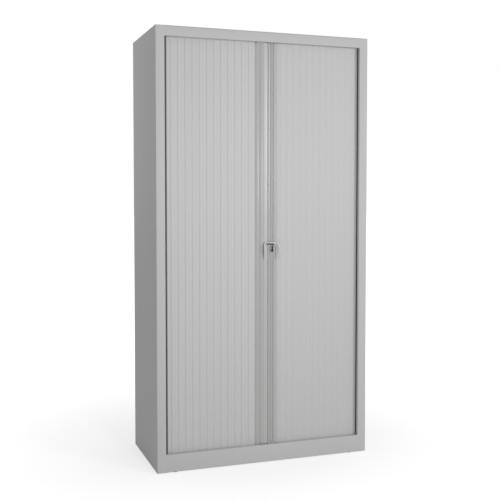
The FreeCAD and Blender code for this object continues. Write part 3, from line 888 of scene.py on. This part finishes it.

# %% Pads under the arch
# Black pads fill the top of the arch's opening, under the rim. They are partly painted shade,
# standing in for the deep shadow under the rim, and partly a black rubber part.
PAD_GAP, PAD_THICK = 0.1, 5.0
PAD_X, PAD_Z = (MEETING - 5.5, MEETING + 25.0), (GRIP_Z[1] - 26.0, GRIP_Z[1])
PAD_Y = (GRIP_TOP + 0.5, GRIP_BACK)
for side in (-1, 1):
    pad = arch_opening(f"{NAME[side]}_pad", PAD_GAP, PAD_Y)
    inside = arch_opening("inside", PAD_GAP + PAD_THICK, (PAD_Y[0] - PAST, PAD_Y[1] + PAST))
    combined(pad, "DIFFERENCE", inside)
    combined(pad, "INTERSECT", box("span", PAD_X, PAD_Y, PAD_Z))
    pad = softened(of_door(side, pad), 0.6)
    dress(pad, f"{NAME[side]}_finger_pad")
    print(pad.name, "size", [round(v / MM, 1) for v in pad.dimensions])

# %% [markdown]
# ## Lock and key
#
# The lock is a cam lock: a threaded barrel with a thin collar in front and a nut behind, a plug
# that turns in it, and a key with a flat black bow. The collar and plug are turned pieces, so a
# lathe draws them. The plug gets its keyway, and the key's blade is a piece of its own, because
# the bow is moulded round it in black plastic.

# %% Barrel and plug
COLLAR = CREST - 1.0
NUT_FRONT, NUT_BACK = LEAD_BACK + 0.1, LEAD_BACK + 1.7
NUT_RADIUS, NUT_BORE = 11.5, 9.05
PLUG_BACK = LEAD_BACK + 4.5
BLADE_SIDE, BLADE_RISE, BLADE_END = 1.0, 4.0, COLLAR + 16.0
KEY_FIT = 0.1

barrel_profile = [
    (6.55, COLLAR + 0.5), (7.1, COLLAR), (9.8, COLLAR), (10.3, COLLAR + 0.2),
    (10.5, COLLAR + 0.6), (10.5, CREST - 0.1), (9.0, CREST - 0.1), (9.0, NUT_BACK),
    (8.4, NUT_BACK), (6.55, LEAD_BACK + 1.2),
]
closed_profile = barrel_profile + barrel_profile[:1]
barrel = lathe("barrel", closed_profile, (LOCK_X, 0, LOCK_Z), "y", steps=64)
dress(barrel, "lock_barrel")

turns = [math.pi * k / 3 for k in range(6)]
hexagon = [
    (LOCK_X + NUT_RADIUS * math.cos(a), LOCK_Z + NUT_RADIUS * math.sin(a)) for a in turns
]
nut = prism("barrel_nut", hexagon, "y", NUT_FRONT, NUT_BACK)
combined(nut, "DIFFERENCE", drill("nut_bore", NUT_BORE))
dress(softened(nut, 0.3), "lock_barrel", replaces=False)

plug_profile = [
    (0, COLLAR), (5.9, COLLAR), (6.35, COLLAR + 0.2), (6.5, COLLAR + 0.6),
    (6.5, PLUG_BACK - 0.4), (6.1, PLUG_BACK), (0, PLUG_BACK),
]
plug = lathe("plug", plug_profile, (LOCK_X, 0, LOCK_Z), "y", steps=64)
slot_side, slot_rise = BLADE_SIDE + KEY_FIT, BLADE_RISE + KEY_FIT
keyway = box(
    "keyway", (LOCK_X - slot_side, LOCK_X + slot_side),
    (COLLAR - PAST, BLADE_END + KEY_FIT), (LOCK_Z - slot_rise, LOCK_Z + slot_rise),
)
dress(combined(plug, "DIFFERENCE", keyway), "lock_plug")
print("collar stands at y", COLLAR)

# %% Key
NECK = COLLAR - 3.0
BOW_Y, BOW_Z, BOW_SIDE = (NECK - 11.0, NECK), (LOCK_Z - 12.5, LOCK_Z + 12.5), 2.0
BOW_ROUND = 5.0
HOLE_RADIUS, HOLE_REACH = 1.8, 9.0
BLADE_TIP = 0.5

bow_outline = with_arcs(rectangle(BOW_Y, BOW_Z), BOW_ROUND, steps=10)
bow = prism("key_bow", bow_outline, "x", LOCK_X - BOW_SIDE, LOCK_X + BOW_SIDE)
near_end, far_end = LOCK_X - HOLE_REACH, LOCK_X + HOLE_REACH
hole_profile = [(0, near_end), (HOLE_RADIUS, near_end), (HOLE_RADIUS, far_end), (0, far_end)]
hole_centre = (0, BOW_Y[0] + BOW_ROUND, LOCK_Z)
combined(bow, "DIFFERENCE", lathe("bow_hole", hole_profile, hole_centre, "x", steps=24))
dress(softened(bow, 0.5), "key")

foot, head = LOCK_Z - BLADE_RISE, LOCK_Z + BLADE_RISE
blade_outline = with_arcs([
    (NECK, foot), (BLADE_END - 1, foot), (BLADE_END, foot + 1), (BLADE_END, head - 1),
    (BLADE_END - 1, head), (NECK, head),
], [0, BLADE_TIP, BLADE_TIP, BLADE_TIP, BLADE_TIP, 0])
blade = prism("key_blade", blade_outline, "x", LOCK_X - BLADE_SIDE, LOCK_X + BLADE_SIDE)
dress(softened(blade, 0.2), "key", slot="lock_chrome", replaces=False)
print("key bow from y", BOW_Y[0], "to", BOW_Y[1])

# %% [markdown]
# ## Floor glides
#
# The cupboard stands on four black glides, which snap into holes of the base. Only a rim two
# millimetres high can be seen, but it lifts the shell off the floor and draws a thin dark line
# there.

# %% Glides
GLIDE_X = STILE_INNER - 40.0
GLIDE_INSET = 12.5
GLIDE_YS = (FRONT + GLIDE_INSET, BACK_SHEET - GLIDE_INSET)
glide_profile = [
    (0, 0), (9.6, 0), (10.6, 0.3), (11.0, 0.9), (11.0, 1.5), (10.6, 1.95),
    (4.0, 1.95), (4.0, 7.4), (3.2, 8.0), (0, 8.0),
]
shape = bmesh.new()
for x in (-GLIDE_X, GLIDE_X):
    for y in GLIDE_YS:
        add_lathe(shape, glide_profile, (x, y, 0), "z", steps=32)
dress(as_object("glides", shape), "floor_glides")
print("glides at x", GLIDE_X, "and y", GLIDE_YS)

# %% [markdown]
# ## Camera
#
# The photograph was taken from the left, from about breast height, with a fairly long lens. The
# camera stands where a fit of the cupboard's corners puts it. It looks down a little, and a small
# downward shift of the frame takes in the foot, so that it needn't look down any farther and the
# upright edges stay nearly parallel, as they are in the picture.

# %% Camera
CAMERA_PLACE = Vector((-1.261, -3.592, 1.160))
CAMERA_YAW = math.radians(19.44)
CAMERA_PITCH = math.radians(2.55)
CAMERA_LENS, CAMERA_SENSOR = 60.41, 36.0
CAMERA_SHIFT = -0.036

camera_data = bpy.data.cameras.new("camera")
camera_data.sensor_width = CAMERA_SENSOR
camera_data.lens = CAMERA_LENS
camera_data.shift_y = CAMERA_SHIFT
camera = bpy.data.objects.new("camera", camera_data)
camera.location = CAMERA_PLACE
camera.rotation_euler = (math.pi / 2 - CAMERA_PITCH, 0, -CAMERA_YAW)
bpy.context.scene.collection.objects.link(camera)
bpy.context.scene.camera = camera
print("camera at", tuple(round(v, 2) for v in CAMERA_PLACE), "lens", CAMERA_LENS)

# %% [markdown]
# ## Light
#
# The picture is a plain studio shot with very soft light. About half of it comes from all round:
# that is the world, which is white for the camera and for reflections and a calm grey as a source
# of light, and what the floor throws back. A broad lamp on the right models the lobes of the
# rails. A small lamp near the front makes the middle and the top a little brighter than the foot.

# %% Lamps
def soft_lamp(name, place, aim, size, power):
    data = bpy.data.lights.new(name, "AREA")
    data.shape = "DISK"
    data.size = size
    data.energy = power
    lamp = bpy.data.objects.new(name, data)
    lamp.location = place
    lamp.rotation_euler = (Vector(aim) - Vector(place)).to_track_quat("-Z", "Y").to_euler()
    bpy.context.scene.collection.objects.link(lamp)


soft_lamp("side_light", (2.6, -4.4, 1.7), aim=(0.2, 0.0, 1.2), size=1.6, power=72.0)
soft_lamp("front_light", (-0.2, -2.1, 1.3), aim=(-0.2, 0.0, 1.2), size=0.3, power=8.0)
print("lamps:", [lamp.name for lamp in bpy.data.lights])

# %% World
WORLD_LIGHT = 0.46
sky = bpy.data.worlds.new("studio")
bpy.context.scene.world = sky
sky.use_nodes = True
nodes, links = sky.node_tree.nodes, sky.node_tree.links
nodes.clear()
path = nodes.new("ShaderNodeLightPath")
seen = path.outputs["Is Camera Ray"]
for kind in ("Is Glossy Ray", "Is Transmission Ray"):
    either = nodes.new("ShaderNodeMath")
    either.operation = "MAXIMUM"
    links.new(seen, either.inputs[0])
    links.new(path.outputs[kind], either.inputs[1])
    seen = either.outputs[0]
light, white = nodes.new("ShaderNodeBackground"), nodes.new("ShaderNodeBackground")
for shade_node, strength in ((light, WORLD_LIGHT), (white, 1.0)):
    shade_node.inputs["Color"].default_value = (1, 1, 1, 1)
    shade_node.inputs["Strength"].default_value = strength
chosen, world_out = nodes.new("ShaderNodeMixShader"), nodes.new("ShaderNodeOutputWorld")
links.new(seen, chosen.inputs[0])
links.new(light.outputs[0], chosen.inputs[1])
links.new(white.outputs[0], chosen.inputs[2])
links.new(chosen.outputs[0], world_out.inputs["Surface"])
print("world light", WORLD_LIGHT)

# %% [markdown]
# ## Floor
#
# The floor is a wide sheet of pale paper. Where the cupboard stands it shows its own shading, so
# that there is a shadow to stand in. Farther out it adds more and more light of its own for the
# camera only, until it is as white as the world behind it and no horizon can be seen.

# %% Floor
FLOOR_REACH, FLOOR_THICK = 40000.0, 10.0
PAPER, PAPER_DRIFT, MOTTLE, BOUNCE = (0.50, 0.50, 0.50), 0.01, 1.5, 0.92
GLOW_NEAR, GLOW_FAR = 0.60, 1.0
FADE_FROM, FADE_TO = 0.35, 2.4

reach = (-FLOOR_REACH, FLOOR_REACH)
floor = prism("floor", rectangle(reach, reach), "z", -FLOOR_THICK, 0.0)
paper = Finish("studio_paper")
to_camera = paper.node("ShaderNodeLightPath", out="Is Camera Ray")
mottle = paper.noise((MOTTLE, MOTTLE, MOTTLE), detail=1.0)
tone = paper.drifting(mottle, PAPER, PAPER_DRIFT)
away = paper.node("ShaderNodeVectorMath", {"operation": "LENGTH"}, {0: paper.place}, out="Value")
glow = GLOW_NEAR + paper.between(away, FADE_FROM, FADE_TO) * (GLOW_FAR - GLOW_NEAR)
matt = paper.node("ShaderNodeBsdfDiffuse", None, {"Color": tone})
own_light = paper.node("ShaderNodeEmission", None, {"Color": glow})
shown = paper.node("ShaderNodeAddShader", None, {0: matt, 1: own_light})
bounce = paper.node("ShaderNodeBsdfDiffuse", None, {"Color": (BOUNCE, BOUNCE, BOUNCE, 1)})
paper.node("ShaderNodeOutputMaterial", None, {
    "Surface": paper.node("ShaderNodeMixShader", None, {0: to_camera, 1: bounce, 2: shown}),
})
wear(floor, paper.material)
bpy.context.scene.view_settings.view_transform = "Standard"
print("floor fades to white between", FADE_FROM, "and", FADE_TO, "m")
